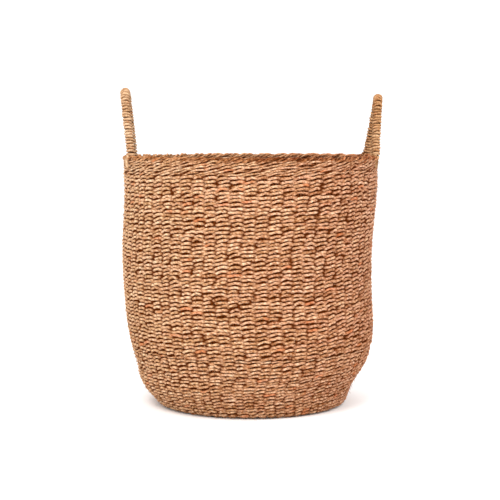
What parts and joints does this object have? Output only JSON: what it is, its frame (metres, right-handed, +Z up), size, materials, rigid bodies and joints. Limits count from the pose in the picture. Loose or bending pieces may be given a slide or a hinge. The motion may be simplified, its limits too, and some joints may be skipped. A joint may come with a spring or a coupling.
{
  "type": "storage basket",
  "caption": "Round woven seagrass storage basket with a rounded heel, a folded border and two upright wrapped loop handles.",
  "frame": {"origin": "middle of the underside, on the surface the basket stands on", "axes": "+Z up through the open mouth; the two handles stand on the X axis, the higher one at -X"},
  "size_m": [0.4154, 0.4034, 0.5023],
  "materials": {
    "seagrass_weft": "matte",
    "seagrass_border": "matte",
    "seagrass_wrap": "matte",
    "cane_core": "satin"
  },
  "bodies": {
    "root": {"floor_centre_mat": "seagrass_weft", "floor_course_1": "seagrass_weft", "floor_course_2": "seagrass_weft", "floor_course_3": "seagrass_weft", "wall_course_01": "seagrass_weft", "wall_course_02": "seagrass_weft", "wall_course_03": "seagrass_weft", "wall_course_04": "seagrass_weft", "wall_course_05": "seagrass_weft", "wall_course_06": "seagrass_weft", "wall_course_07": "seagrass_weft", "wall_course_08": "seagrass_weft", "wall_course_09": "seagrass_weft", "wall_course_10": "seagrass_weft", "wall_course_11": "seagrass_weft", "rim_wale": "seagrass_weft", "rim_border": "seagrass_border", "handle_left_core": "cane_core", "handle_left_wrap": "seagrass_wrap", "handle_left_front_lashing": "seagrass_wrap", "handle_left_back_lashing": "seagrass_wrap", "handle_right_core": "cane_core", "handle_right_wrap": "seagrass_wrap", "handle_right_front_lashing": "seagrass_wrap", "handle_right_back_lashing": "seagrass_wrap"}
  },
  "joints": []
}
